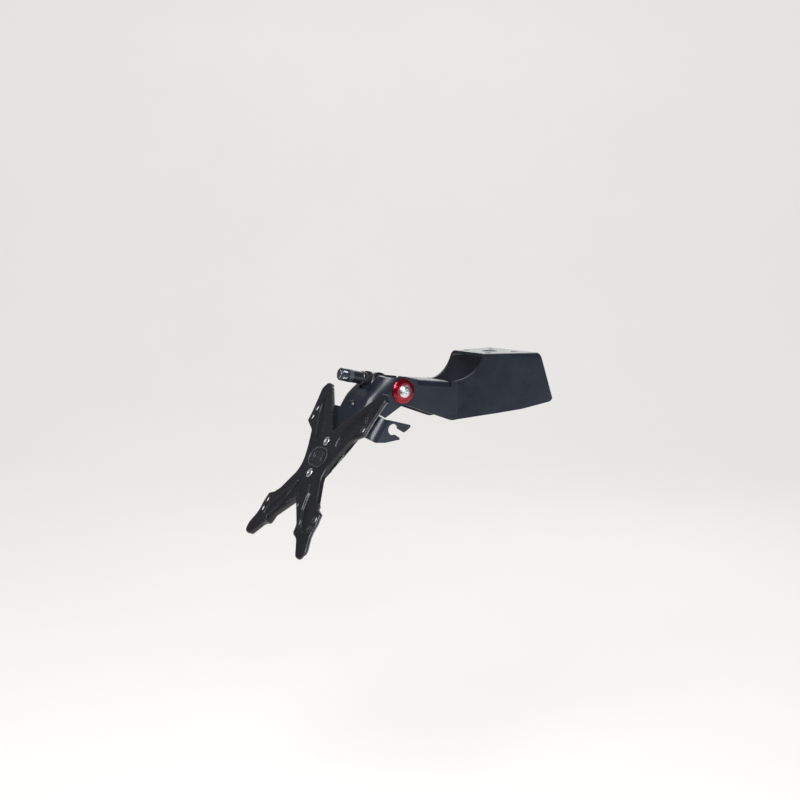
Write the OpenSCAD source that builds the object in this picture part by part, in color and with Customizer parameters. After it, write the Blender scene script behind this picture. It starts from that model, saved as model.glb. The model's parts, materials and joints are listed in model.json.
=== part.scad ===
// Motorbike tail tidy: a folded steel arm under the tail, a hanger that tilts on its end,
// a cast X-shaped carrier for the number plate and a small lamp above the plate.
// Millimetres. +X is the bike's right, +Y its front, +Z up.
// The origin is the middle of the four fixing holes, on top of the arm's mounting face.

/* [Mounting face] */
// Spacing of the fixing holes across the bike
mount_pitch_x = 40; // [30:1:42]
// Spacing of the fixing holes along the bike
mount_pitch_y = 32; // [22:1:36]
// Diameter of the fixing holes
mount_hole_d = 6.6; // [5:0.1:8]
// Diameter of the hole for the wiring
wiring_hole_d = 16; // [8:1:18]
// Length of the mounting face along the bike
mount_face_l = 56; // [50:1:62]

/* [Arm] */
// Thickness of the arm's steel sheet
arm_t = 3; // [2:0.25:4]
// Outside width of the arm at the pivot
arm_w = 46; // [44:1:54]
// Distance from the pivot forward to the middle of the fixing holes
pivot_back = 122; // [120:1:130]
// Distance from the mounting face down to the pivot
pivot_drop = 33; // [31:1:37]
// Radius of the arm's rounded end
arm_end_r = 12.5; // [11:0.5:14]
// Distance from the pivot to the bend where the side plates turn outward
flare_start = 66; // [63:1:70]
// Angle by which the side plates turn outward
flare_angle = 16; // [8:1:20]
// Length of the side plates, forward of the pivot
arm_reach = 166; // [160:1:176]
// Inside radius of the arm's bends
arm_bend_r = 3; // [2:0.5:5]
// Depth of the side plates below the pivot at the bend
arm_depth = 34; // [28:1:40]
// Length of the lower edge's first straight beyond the bend
belly_l = 46; // [40:1:50]
// Rise of the lower edge along that straight
belly_rise = 6.3; // [4:0.1:9]
// Length of the toe at the arm's front end
toe_l = 32; // [26:1:36]
// Rise of the lower edge at the arm's front end
toe_rise = 16; // [13:0.5:20]
// Width of the relief slots beside the folded web
relief_w = 2; // [1:0.25:3]
// Start of the folded web, forward of the pivot
web_start = 22; // [20:1:26]
// Length of the folded web
web_l = 35; // [28:1:36]

/* [Hanger] */
// Thickness of the hanger's sheet
hanger_t = 3; // [2:0.25:4]
// Outside radius of the hanger's upright bends
hanger_bend_r = 9; // [7:0.5:11]
// Radius of the ears round the pivot
ear_r = 14.3; // [13.5:0.1:16]
// Lean of the number plate from upright
plate_lean = 32.5; // [28:0.5:36]
// Lean of the hanger's upper part from upright
upper_lean = 45; // [42:0.5:48]
// Distance from the pivot to the plane of the hanger's rear face
hanger_offset = 29; // [27:0.5:32]
// Distance down the plate from the pivot to the middle of the carrier
carrier_drop = 95.7; // [92:0.1:102]
// Distance down the plate from the pivot to the hanger's cross bend
cross_bend_drop = 24.7; // [22:0.1:27]
// Length of the hanger below the middle of the carrier
hanger_tail = 28; // [25:1:32]
// Width of the hanger's rounded tail
tail_w = 26; // [20:1:34]
// Height of the stiffening flange behind the carrier
flange_h = 11; // [9:0.5:13]
// Distance below the carrier's middle at which the flange runs out
flange_end = 6; // [2:1:10]
// Radius of the scallop in the flange, beside the wings
scallop_r = 16; // [14:0.5:17]
// Distance of the scallop's centre behind the pivot
scallop_out = 5; // [3:0.5:6]

/* [Indicator wings] */
// Outside width across the two wings
wing_span = 120; // [114:1:124]
// Height of a wing at its root
wing_root_h = 24; // [20:1:26]
// Height of the wing's lower edge above the carrier's middle
wing_low_y = 33; // [32:0.5:36]
// Reach of a wing forward from the hanger's rear face
wing_reach = 35; // [32:1:42]
// Diameter of the indicator's hole
key_d = 11; // [8:0.5:12]
// Distance from the wing's tip back to the indicator's hole
key_back = 14.1; // [13:0.1:15]
// Height of the indicator's hole above the wing's lower edge
key_rise = 19.7; // [19:0.1:21]
// Width of the open slot that leads to it
key_slot_w = 6.5; // [5:0.5:7.5]
// Width of the windows behind the upper lug holes
window_w = 15.5; // [13:0.5:17]

/* [Carrier] */
// Thickness of the carrier's arms
carrier_t = 5; // [4:0.5:7]
// Thickness of the lugs that take the plate's screws
lug_t = 2.2; // [1.5:0.1:3]
// Height of the lower arms' ridges above the carrier's face
rib_h = 1.2; // [0.8:0.2:2.6]
// Depth of the pockets in the arms
pocket_depth = 1.2; // [0.6:0.2:1.6]
// Diameter of the lug holes
lug_hole_d = 6.4; // [4:0.1:7]
// Spacing of the two holes in a lug
lug_hole_pitch = 10; // [8.5:0.25:11]
// Distance between the lug holes of the left and right arms
lug_span = 108; // [106:0.5:109]
// Height of the upper lugs' holes above the carrier's middle
upper_lug_y = 43; // [42:0.25:44]
// Depth of the lower lugs' holes below the carrier's middle
lower_lug_y = 62; // [61:0.25:63]
// Diameter of the holes in the lower arms' inner bumps
bump_hole_d = 5; // [3:0.25:6]
// Distance between those two holes
bump_span = 66; // [64:0.5:68]
// Depth of those holes below the carrier's middle
bump_y = 73; // [72:0.25:74]
// Distance between the two carrier screws
carrier_pitch = 34.8; // [33:0.2:37]
// Height of the oval disc in the carrier's middle
disc_d = 18; // [14:0.5:19]
// Width of that disc
disc_w = 31; // [24:0.5:33]
// Thickness of that disc
disc_t = 1.5; // [1:0.1:2]
// Width of the raised rim round the disc
disc_rim_w = 1.4; // [1:0.1:2]
// Height of that rim above the carrier's face
disc_rim_h = 0.6; // [0.4:0.1:1]

/* [Pivot] */
// Diameter of the pivot bolts
pivot_d = 8; // [6:0.5:10]
// Running clearance between a bolt and the ear, on the radius
pivot_clear = 0.06; // [0.02:0.01:0.1]
// Diameter of the cup washers
cup_d = 24.6; // [22:0.2:27]
// Thickness of the cup washers
cup_t = 3.8; // [3:0.1:5]
// Diameter of the pivot bolts' heads
pivot_head_d = 13; // [12:0.5:14]
// Height of the pivot bolts' heads
pivot_head_h = 4.2; // [3:0.1:5]
// Thickness of the friction washers between ear and arm
friction_t = 1; // [0.6:0.1:2]
// Diameter of the friction washers
friction_d = 22; // [18:0.5:24]
// Gap between a washer and its bolt, on the radius
washer_gap = 0.1; // [0.05:0.05:0.3]
// Width across flats of the pivot nuts
pivot_nut_af = 13; // [12:0.5:14]
// Height of the pivot nuts
pivot_nut_h = 6.5; // [5:0.5:8]
// Thickness of the washers under the pivot nuts
nut_washer_t = 1.6; // [1:0.1:2.5]
// Diameter of those washers
nut_washer_d = 16; // [14:0.5:18]

/* [Screws] */
// Diameter of the carrier and hanger screws
screw_d = 5; // [4:0.5:6]
// Clearance of a screw in its hole, on the radius
screw_clear = 0.25; // [0.1:0.05:0.4]
// Diameter of the screws' heads
screw_head_d = 9.5; // [8.5:0.5:11]
// Height of the screws' heads
screw_head_h = 2.8; // [2:0.1:3.5]
// Width across flats of the screws' nuts
screw_nut_af = 8; // [7:0.5:9]
// Height of the screws' nuts
screw_nut_h = 5; // [4:0.5:6]

/* [Plate lamp] */
// Diameter of the lamp's body
lamp_d = 12.6; // [11:0.1:13.5]
// Thickness of the lamp's rubber gasket
gasket_t = 4.2; // [2:0.2:6]
// Thickness of the ring on the gasket
ring_t = 2.4; // [1.5:0.1:4]
// Length of the lamp's smooth body
smooth_l = 10.6; // [6:0.2:16]
// Length of the collar between body and nose
collar_t = 4.3; // [2:0.1:7]
// Diameter of the lamp's threaded stem
lamp_stem_d = 8; // [6:0.5:8.5]
// Angle by which the lamp points up
lamp_tilt = 12; // [8:1:16]
// Length of the lamp's open nose
nose_l = 9; // [7:0.5:11]
// Number of windows in the nose
windows = 4; // [3:1:5]
// Thickness of the lamp bracket's sheet
tab_t = 2; // [1.5:0.25:2.5]
// Width of the lamp bracket
tab_w = 16; // [14:0.5:18]
// Length of the lamp bracket's tab from its bend to the lamp
tab_l = 11.7; // [11:0.1:13]
// Distance of the tab's bend above the hanger's cross bend
tab_rise = 10; // [9:0.1:11]
// Distance of the lamp bracket's screw below the hanger's cross bend
bracket_screw_drop = 9.4; // [9:0.1:11]
// Clearance of the lamp bracket in the hanger's notch, at each side
notch_clear = 0.6; // [0.4:0.1:1]
// Diameter of the bore for the lamp's lead
lead_bore_d = 4; // [2:0.5:5]

/* [Hidden] */
$fn = 64;
eps = 0.01;
far = 400;
steel_black = [0.16, 0.17, 0.19];
cast_black = [0.13, 0.12, 0.13];
anodised_red = [0.75, 0.02, 0.12];
stainless = [0.8, 0.8, 0.8];
zinc = [0.6, 0.61, 0.63];

// Widths across the bike, from its middle outward
arm_out = arm_w / 2;
ear_in = arm_out + friction_t;
ear_out = ear_in + hanger_t;
wing_out = wing_span / 2;
// The arm's top edge falls towards the front
top_z = 12.3;
top_fall = 0.107;
slope = atan(top_fall);
// The hollow curve by which the side plates climb to the mounting face
climb_y = flare_start - 6;
climb_r = 35.4;
climb_z = pivot_drop + 8;
crown_r = arm_bend_r + arm_t;
flare_run = arm_bend_r * tan(flare_angle / 2);
// How far the web's legs lie inside the faces of the side plates
leg_inset = 0.02;
plate_h = 2 * (pivot_drop + arm_depth);
face_y0 = pivot_back - mount_face_l / 2;
face_y1 = pivot_back + mount_face_l / 2;
web_end = web_start + web_l;
// The bolts' holes in the arm are a little larger than those in the ears
arm_bore_d = pivot_d + 0.5;
ear_bore_d = pivot_d + 2 * pivot_clear;
screw_hole_d = screw_d + 2 * screw_clear;
// Places on the hanger, as forward and up from the pivot
rear_n = [-cos(plate_lean), sin(plate_lean)];
up_n = [sin(plate_lean), cos(plate_lean)];
steep_n = [-cos(upper_lean), sin(upper_lean)];
steep_up = [sin(upper_lean), cos(upper_lean)];
cross_bend = hanger_offset * rear_n - cross_bend_drop * up_n;
mitre_lean = (plate_lean + upper_lean) / 2;
mitre_n = [-cos(mitre_lean), sin(mitre_lean)];
half_turn = (upper_lean - plate_lean) / 2;
wing_mid = carrier_drop - wing_low_y - wing_root_h / 2;
upper_l = (ear_r - cross_bend.y) / steep_up.y;
face_out = hanger_offset + carrier_t;
bracket_screw_y = carrier_drop - cross_bend_drop - bracket_screw_drop;
bracket_foot_y = bracket_screw_y - screw_head_d / 2 - 1;
// Lamp: the tab leaves the upper sheet's inner face and leans back less than the sheet
tab_up = [sin(lamp_tilt), cos(lamp_tilt)];
tab_n = [-cos(lamp_tilt), sin(lamp_tilt)];
tab_turn = upper_lean - lamp_tilt;
tab_root = cross_bend - hanger_t * steep_n + tab_rise * steep_up;
lamp_seat = tab_root + tab_l * tab_up;
// The lamp's pieces along its axis: gasket, ring, smooth body, collar and windowed nose
ring_z = gasket_t;
smooth_z = ring_z + ring_t;
collar_z = smooth_z + smooth_l;
nose_z = collar_z + collar_t;
lamp_l = nose_z + nose_l;
neck_d = lamp_d - 3;
lens_d = neck_d - 1.4;
lamp_nut_h = 4;
stem_clear = 0.2;
// Gap left on the radius where one piece slips into or over another
fit_gap = 0.05;
window_share = 0.2;
window_rim = 1.4;
tip_bevel = 1;
notch_w = tab_w + 2 * notch_clear;
tab_end_r = tab_w / 2 - 2;

function turn_arc(c, r, a0, turn, n) =
  [for (i = [0:n]) c + r * [cos(a0 + turn * i / n), sin(a0 + turn * i / n)]];
function short_turn(a) = a > 180 ? a - 360 : a < -180 ? a + 360 : a;
// A corner c between points p and q, rounded to the radius r
function fillet(p, c, q, r) =
  let (u = (p - c) / norm(p - c), w = (q - c) / norm(q - c), half = acos(u * w) / 2)
  let (run = min(r / tan(half), 0.48 * norm(p - c), 0.48 * norm(q - c)), rr = run * tan(half))
  let (m = c + (u + w) / norm(u + w) * rr / sin(half), s = c + u * run - m, e = c + w * run - m)
  let (a0 = atan2(s.y, s.x), turn = short_turn(atan2(e.y, e.x) - a0))
  concat([c + u * run],
    [for (i = [1:4]) m + rr * [cos(a0 + turn * i / 5), sin(a0 + turn * i / 5)]],
    [c + w * run]);
function xy(p) = [p[0], p[1]];
// Corners given as [x, y, radius]
function rounded(c) = let (n = len(c))
  [for (i = [0:n - 1]) each
    c[i][2] > 0 ? fillet(xy(c[(i + n - 1) % n]), xy(c[i]), xy(c[(i + 1) % n]), c[i][2]) : [xy(c[i])]];
function mirrored(c) = [for (i = [len(c) - 1:-1:0]) [-c[i][0], c[i][1], c[i][2]]];
function top_at(y) = top_z - top_fall * y;
// Forward and up from the pivot, for a place d down the plate and o out of it
function place(d, o) = o * rear_n - d * up_n;
// The same with a corner radius, as rounded() takes it
function corner(d, o, r) = let (p = place(d, o)) [p.x, p.y, r];
// A sheet's corner at the cross bend, t below the hanger's outside
function bend_corner(t) = cross_bend - t / cos(half_turn) * mitre_n;

module at_pivot() {
  translate([0, -pivot_back, -pivot_drop])
    children();
}
// A side view, drawn forward and up from the pivot, made w wide about the middle
module across(w) {
  translate([-w / 2, 0, 0])
    rotate([90, 0, 90])
      linear_extrude(height = w)
        children();
}
// Across, up the plate and out of it, from the middle of the carrier's face
module on_plate() {
  at_pivot()
    rotate([90 - plate_lean, 0, 0])
      translate([0, -carrier_drop, face_out])
        children();
}
// The same for the hanger's upper part, from its cross bend
module on_upper() {
  at_pivot()
    translate([0, cross_bend.x, cross_bend.y])
      rotate([90 - upper_lean, 0, 0])
        children();
}
// Out along the lamp, from its seat on the tab
module on_lamp() {
  at_pivot()
    translate([0, lamp_seat.x, lamp_seat.y])
      rotate([90 - lamp_tilt, 0, 0])
        children();
}
// Outward on the right (side 1) or the left (side -1), from x on the pivot's axis
module outward(side, x) {
  at_pivot()
    translate([side * x, 0, 0])
      rotate([0, side * 90, 0])
        children();
}
module hex_socket(af, depth) {
  translate([0, 0, -depth])
    cylinder(d = af / cos(30), h = depth + far, $fn = 6);
}
// A low domed head on z = 0, turned as one profile, with its shank below
module button_screw(d, head_d, head_h, shank) {
  dome_r = (head_d * head_d / 4 + head_h * head_h) / (2 * head_h);
  flat_r = head_d * 0.3;
  difference() {
    union() {
      intersection() {
        translate([0, 0, head_h - dome_r])
          sphere(r = dome_r);
        cylinder(d = head_d, h = head_h * 0.93);
      }
      translate([0, 0, -shank])
        cylinder(d = d, h = shank + eps);
    }
    translate([0, 0, head_h * 0.93])
      hex_socket(head_d * 0.34, head_h * 0.6);
  }
}
// A nut on z = 0 that reaches up, with a collar that holds its locking ring
module lock_nut(d, af, h) {
  difference() {
    union() {
      intersection() {
        cylinder(d = af / cos(30), h = h * 0.72, $fn = 6);
        cylinder(d = af * 1.1, h = h);
      }
      cylinder(d = af * 0.86, h = h);
    }
    translate([0, 0, -eps])
      cylinder(d = d, h = h + 2 * eps);
  }
}

// A side plate seen from above, as far as the end of its bend outward
module arm_sheet_plan() {
  bend = [arm_out + arm_bend_r, flare_start - flare_run];
  outer = turn_arc(bend, arm_bend_r, 180, -flare_angle, 6);
  inner = turn_arc(bend, crown_r, 180, -flare_angle, 6);
  polygon(concat([[arm_out, -arm_end_r]], outer, [for (i = [6:-1:0]) inner[i]],
    [[arm_out - arm_t, -arm_end_r]]));
}
// The arm seen from its right side
module arm_side_view() {
  low = -arm_depth;
  climb_a0 = -acos((flare_start - 4 - climb_y) / climb_r);
  over = pivot_drop + 1;
  climb_a1 = asin((over - climb_z) / climb_r);
  union() {
    circle(r = arm_end_r);
    polygon(concat(
      rounded([[0, -arm_end_r, 0], [flare_start - 2 * arm_t, low, 4 * arm_t],
        [flare_start + belly_l, low + belly_rise, 0],
        [arm_reach - toe_l, low + belly_rise + arm_t, 10 * arm_t],
        [arm_reach - arm_t, low + toe_rise, arm_t], [arm_reach, low + toe_rise + arm_t, arm_t],
        [face_y1 + 2, over, 0]]),
      turn_arc([climb_y, climb_z], climb_r, climb_a1, climb_a0 - climb_a1, 14),
      [[web_end + relief_w, top_at(web_end)], [web_end + relief_w, top_at(web_end) - crown_r],
        [web_start - relief_w, top_at(web_start) - crown_r], [web_start - relief_w, top_at(web_start)],
        [0, arm_end_r]]));
  }
}
// The folded web between the side plates, with its rounded bends
module arm_web() {
  at_pivot()
    translate([0, web_end, top_at(web_end)])
      rotate([90 - slope, 0, 0])
        linear_extrude(height = web_l / cos(slope))
          for (side = [0, 1])
            mirror([side, 0])
              web_half();
}
// Its legs run down inside the side plates
module web_half() {
  out = arm_out - leg_inset;
  t = arm_t - 2 * leg_inset;
  translate([out - t, -crown_r - 2])
    square([t, 2]);
  translate([0, -t])
    square([out - crown_r, t]);
  translate([out - crown_r, -crown_r])
    difference() {
      intersection() {
        circle(r = crown_r);
        square(crown_r);
      }
      circle(r = crown_r - t);
    }
}
// The flared end of a side plate, its bend and its half of the mounting face, as one profile
module flared_half() {
  intersection() {
    translate([arm_out, flare_start, pivot_drop - crown_r])
      rotate([0, 0, -flare_angle])
        rotate([-90, 0, 0])
          translate([-crown_r, 0, flare_run])
            linear_extrude(height = 2 * arm_reach)
              flared_profile();
    translate([0, 0, -far])
      cube([far, far, 2 * far]);
  }
}
// Down is +y here, and the bend's centre is the origin
module flared_profile() {
  translate([arm_bend_r, 0])
    square([arm_t, plate_h]);
  difference() {
    union() {
      intersection() {
        circle(r = crown_r);
        translate([0, -crown_r])
          square(crown_r);
      }
      translate([-arm_reach, -crown_r])
        square([arm_reach, arm_t]);
    }
    circle(r = arm_bend_r);
  }
}
module main_bracket() {
  color(steel_black)
    difference() {
      union() {
        at_pivot()
          intersection() {
            union() {
              for (side = [0, 1])
                mirror([side, 0, 0]) {
                  translate([0, 0, pivot_drop - crown_r - plate_h])
                    linear_extrude(height = plate_h)
                      arm_sheet_plan();
                  flared_half();
                }
            }
            across(far)
              arm_side_view();
          }
        arm_web();
      }
      at_pivot()
        across(far)
          circle(d = arm_bore_d);
      for (x = [-1, 1], y = [-1, 1])
        translate([x * mount_pitch_x / 2, y * mount_pitch_y / 2, -arm_t - 1])
          cylinder(d = mount_hole_d, h = arm_t + 2);
      translate([0, 0, -arm_t - 1])
        cylinder(d = wiring_hole_d, h = arm_t + 2);
    }
}

// A channel: its rear face at z = 0, its walls reaching towards -z, running up from y = 0
module channel(l, depth) {
  translate([0, l, 0])
    rotate([90, 0, 0])
      linear_extrude(height = l)
        difference() {
          channel_section(ear_out, hanger_bend_r, 0, depth);
          channel_section(ear_in, hanger_bend_r - hanger_t, hanger_t, depth + 1);
        }
}
module channel_section(half, r, drop, depth) {
  polygon(rounded([[-half, -depth, 0], [half, -depth, 0], [half, -drop, r], [-half, -drop, r]]));
}
// The hanger seen from its right side, forward and up from the pivot
module hanger_side_view() {
  low = carrier_drop + hanger_tail;
  difference() {
    union() {
      circle(r = ear_r);
      polygon(rounded([[0, ear_r, 0],
        [cross_bend.x + upper_l * steep_up.x - 3, ear_r, 0],
        [cross_bend.x - 3, cross_bend.y, 0],
        corner(low, hanger_offset + 1, 0),
        corner(low, hanger_offset - hanger_t, 0),
        corner(carrier_drop + flange_end, hanger_offset - hanger_t, 0),
        corner(wing_mid + wing_root_h / 2 + 2, hanger_offset - flange_h, 20),
        corner(wing_mid - scallop_r - 1, scallop_out - 1, 0),
        [-1, -ear_r, 0]]));
    }
    translate(place(wing_mid - 2.7, scallop_out))
      circle(r = scallop_r);
  }
}
// A wing in the flat: forward of the hanger's rear face, and up from the wing's lower edge
wing_outline = [[0, 0, 0], [11, 0, 5], [18.5, 5.4, 12], [wing_reach - 4, 16.2, 1.5],
  [wing_reach - 1.5, 26, 0], [wing_reach + 1, 32.6, 3], [wing_reach - 8, 29.8, 6],
  [8, wing_root_h, 6], [0, wing_root_h, 0]];
module wing_view() {
  translate([0, wing_low_y])
    difference() {
      polygon(rounded(wing_outline));
      translate([wing_reach - key_back, key_rise]) {
        circle(d = key_d);
        translate([0, -key_slot_w / 2])
          square([far, key_slot_w]);
      }
    }
}
// The sheet that runs out to a wing, its bend and the wing itself
module wing(side) {
  bend_out = hanger_t + 2.5;
  y0 = wing_low_y;
  root_x = ear_out / 2;
  mirror([side < 0 ? 1 : 0, 0, 0])
    difference() {
      union() {
        translate([root_x, y0, -hanger_t])
          cube([wing_out - bend_out - root_x, wing_root_h, hanger_t]);
        translate([wing_out - bend_out, y0, -bend_out])
          rotate([-90, 0, 0])
            linear_extrude(height = wing_root_h)
              difference() {
                intersection() {
                  circle(r = bend_out);
                  translate([0, -bend_out])
                    square(bend_out);
                }
                circle(r = bend_out - hanger_t);
              }
        intersection() {
          translate([wing_out - hanger_t, 0, 0])
            rotate([0, 90, 0])
              linear_extrude(height = hanger_t)
                wing_view();
          translate([0, 0, -far - bend_out])
            cube([far, far, far]);
        }
      }
      // Window behind the lug's holes, for the plate's nuts
      translate([lug_span / 2 - 2 - window_w, y0 + 4, -hanger_t - 1])
        cube([window_w, wing_root_h - 7, hanger_t + 2]);
    }
}

module hanger() {
  tail = hanger_tail;
  lower_l = tail + carrier_drop - cross_bend_drop + 12;
  depth = hanger_offset + ear_r + 8;
  color(steel_black)
    difference() {
      union() {
        // Lower part, up to the mitre at the cross bend
        intersection() {
          on_plate()
            translate([0, -tail, -carrier_t])
              channel(lower_l, depth);
          below_mitre();
          at_pivot()
            across(far)
              hanger_side_view();
        }
        // Upper part with the ears
        intersection() {
          on_upper()
            translate([0, -12, 0])
              channel(upper_l + 30, depth);
          above_mitre();
          at_pivot()
            across(far)
              hanger_side_view();
        }
        on_plate()
          translate([0, 0, -carrier_t])
            for (side = [1, -1])
              wing(side);
      }
      at_pivot()
        across(far)
          circle(d = ear_bore_d);
      on_plate()
        translate([0, 0, -carrier_t - hanger_t - 1]) {
          for (y = [-1, 1])
            translate([0, y * carrier_pitch / 2, 0])
              cylinder(d = screw_hole_d, h = hanger_t + 2);
          translate([0, bracket_screw_y, 0])
            cylinder(d = screw_hole_d, h = hanger_t + 2);
        }
      tail_cut();
      // Notch for the lamp bracket, open at the top
      on_upper()
        translate([-notch_w / 2, tab_rise - notch_clear, -hanger_t - 6])
          cube([notch_w, far, hanger_t + 12]);
    }
}
// Half spaces on either side of the cross bend's mitre
module below_mitre() {
  at_pivot()
    translate([0, cross_bend.x, cross_bend.y])
      rotate([90 - mitre_lean, 0, 0])
        translate([-far / 2, -far, -far / 2])
          cube(far);
}
module above_mitre() {
  at_pivot()
    translate([0, cross_bend.x, cross_bend.y])
      rotate([90 - mitre_lean, 0, 0])
        translate([-far / 2, 0, -far / 2])
          cube(far);
}
// The hanger's tail narrows and is rounded behind the carrier
module tail_cut() {
  on_plate()
    translate([0, 0, -far / 2])
      linear_extrude(height = far)
        for (side = [1, -1])
          polygon([[side * (ear_out + 1), -2], [side * (ear_out + 1), -hanger_tail - 1],
            [side * tail_w / 2, -hanger_tail - 1], [side * tail_w / 2, -hanger_tail]]);
}

// Places on the right half of the carrier, counted from its holes, with a corner radius
function by_upper(x, y, r) = [lug_span / 2 + x, upper_lug_y + y, r];
function by_lower(x, y, r) = [lug_span / 2 + x, y - lower_lug_y, r];
function by_bump(x, y, r) = [bump_span / 2 + x, y - bump_y, r];
// The right half of the carrier's outline, from the upper notch round to the lower one
half_outline = [[0, 29, 1], by_upper(-0.5, 34.5, 3), by_upper(6, 34.5, 3.5), by_upper(12, 27.5, 4),
  by_upper(6.8, 2, 30), by_upper(5.8, -10.5, 2), by_upper(-3, -14.5, 6), by_upper(-12.5, -19, 6),
  [31.5, 7, 30], [25, -8, 20], [26, -19, 14],
  by_lower(-13, 21, 10), by_lower(-5, 15, 6), by_lower(4, 12, 3.5), by_lower(5.8, 2, 20),
  by_lower(5.5, -10, 12), by_lower(12.4, -23.5, 8), by_lower(12, -34, 6), by_lower(-0.3, -33.8, 4),
  by_bump(7, -8.5, 2), by_bump(2, -6, 3), by_bump(-5, -4.5, 3.5), by_bump(-7.5, 5, 2), [0, -46, 1]];
upper_pocket = [[21.5, 13.5, 1], [19.5, 19, 3], [20, 26, 4], [22, 33, 4], by_upper(-16, 6, 10),
  by_upper(-6, 18, 2), by_upper(-4.5, 13, 2), by_upper(-9, 1, 10), by_upper(-18, -12, 10),
  by_upper(-25, -22, 10)];
lower_ridge = [[11.5, -26, 0.5], [15.8, -37.5, 10], [18, -48, 8], by_lower(-30, 2, 10),
  by_lower(-19, -9, 1), by_lower(-23, 0, 8), by_lower(-30.5, 9, 8), by_lower(-32.5, 17, 6),
  [19.5, -36, 6]];
lower_pocket = [[20.5, -34.5, 0.5], [21, -43, 6], by_lower(-29.5, 8.5, 8), by_lower(-22, -0.5, 8),
  by_lower(-17.5, -7, 1), by_lower(-11, -10, 2), by_lower(-7, -9, 2), by_lower(-8, 0, 6),
  by_lower(-21.5, 15, 10)];
notch_rim = [[0, -39.7, 1], [12, -49.2, 2], [13, -54, 1], [0, -44.2, 1], [-13, -54, 1],
  [-12, -49.2, 2]];
module carrier_outline() {
  left = mirrored(half_outline);
  polygon(rounded(concat(half_outline, [for (i = [1:len(left) - 2]) left[i]])));
}
// What is taken off the back of the lugs, so that they are thinner than the arms
upper_relief = [by_upper(-4, 33, 0), by_upper(-4.4, 13, 0), by_upper(-5.6, -1, 0),
  by_upper(-9.5, -13, 0), by_upper(-10, -23, 0), by_upper(26, -23, 0), by_upper(26, 21, 0)];
lower_relief = [by_lower(-10, 22, 0), by_lower(-7.5, 12, 0), by_lower(-5, 0, 0),
  by_lower(-1, -14, 0), by_lower(0, -40, 0), by_lower(26, -40, 0), by_lower(26, 22, 0)];
module lug_relief(side) {
  mirror([side < 0 ? 1 : 0, 0]) {
    polygon([for (c = upper_relief) xy(c)]);
    polygon([for (c = lower_relief) xy(c)]);
  }
}
// The same outline on both sides, from z up
module relief_pair(points, z, h) {
  for (side = [0, 1])
    mirror([side, 0, 0])
      translate([0, 0, z])
        linear_extrude(height = h)
          polygon(rounded(points));
}
module plate_carrier() {
  color(cast_black)
    on_plate()
      difference() {
        union() {
          difference() {
            translate([0, 0, -carrier_t])
              linear_extrude(height = carrier_t)
                carrier_outline();
            for (side = [1, -1])
              translate([0, 0, -carrier_t - 1])
                linear_extrude(height = carrier_t - lug_t + 1)
                  lug_relief(side);
          }
          relief_pair(lower_ridge, -eps, rib_h + eps);
          translate([0, 0, -eps]) {
            linear_extrude(height = rib_h + eps)
              polygon(rounded(notch_rim));
            oval(disc_rim_w, disc_rim_h + eps);
          }
        }
        relief_pair(upper_pocket, -pocket_depth, far);
        relief_pair(lower_pocket, -pocket_depth, far);
        translate([0, 0, -disc_t])
          oval(fit_gap, far);
        for (y = [-1, 1])
          translate([0, y * carrier_pitch / 2, -carrier_t - 1])
            cylinder(d = screw_hole_d, h = carrier_t + far);
        for (x = [-1, 1], y = [-1, 1]) {
          translate([x * lug_span / 2, upper_lug_y + y * lug_hole_pitch / 2, -carrier_t - 1])
            cylinder(d = lug_hole_d, h = carrier_t + 2);
          translate([x * lug_span / 2, -lower_lug_y + y * lug_hole_pitch / 2, -carrier_t - 1])
            cylinder(d = lug_hole_d, h = carrier_t + 2);
        }
        for (x = [-1, 1])
          translate([x * bump_span / 2, -bump_y, -carrier_t - 1])
            cylinder(d = bump_hole_d, h = carrier_t + 2);
      }
}
// The disc's outline, grown by a margin and made h high
module oval(margin, h) {
  straight = (disc_w - disc_d) / 2;
  linear_extrude(height = h)
    union() {
      for (x = [-straight, straight])
        translate([x, 0])
          circle(d = disc_d + 2 * margin);
      translate([-straight, -disc_d / 2 - margin])
        square([2 * straight, disc_d + 2 * margin]);
    }
}
module centre_disc() {
  color(cast_black)
    on_plate()
      translate([0, 0, -disc_t])
        oval(0, disc_t);
}

// The lamp bracket from the side: a leg on the inside of the hanger, the bend and the tab
module lamp_bracket_side_view() {
  foot_d = carrier_drop - bracket_foot_y;
  inside = hanger_offset - hanger_t;
  tab_end = lamp_seat + tab_w / 2 * tab_up;
  polygon(concat([place(foot_d, inside), bend_corner(hanger_t), tab_root, tab_end,
    tab_end - tab_t * tab_n],
    turn_arc(tab_root, tab_t, -lamp_tilt, -tab_turn, 6),
    [bend_corner(hanger_t + tab_t), place(foot_d, inside - tab_t)]));
}
module lamp_bracket() {
  color(steel_black)
    difference() {
      at_pivot()
        across(tab_w)
          lamp_bracket_side_view();
      // The tab's end is rounded round the lamp's seat
      on_lamp()
        translate([0, 0, -tab_t - 1])
          linear_extrude(height = tab_t + 2)
            difference() {
              translate([-tab_w, 0])
                square(2 * tab_w);
              polygon(rounded([[-tab_w / 2, -1, 0], [tab_w / 2, -1, 0],
                [tab_w / 2, tab_w / 2 - 0.2, tab_end_r], [-tab_w / 2, tab_w / 2 - 0.2, tab_end_r]]));
            }
      on_plate()
        translate([0, bracket_screw_y, -face_out])
          cylinder(d = screw_hole_d, h = far);
      on_lamp()
        translate([0, 0, -tab_t - 1])
          cylinder(d = lamp_stem_d + 2 * stem_clear, h = tab_t + 2);
    }
}

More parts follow.
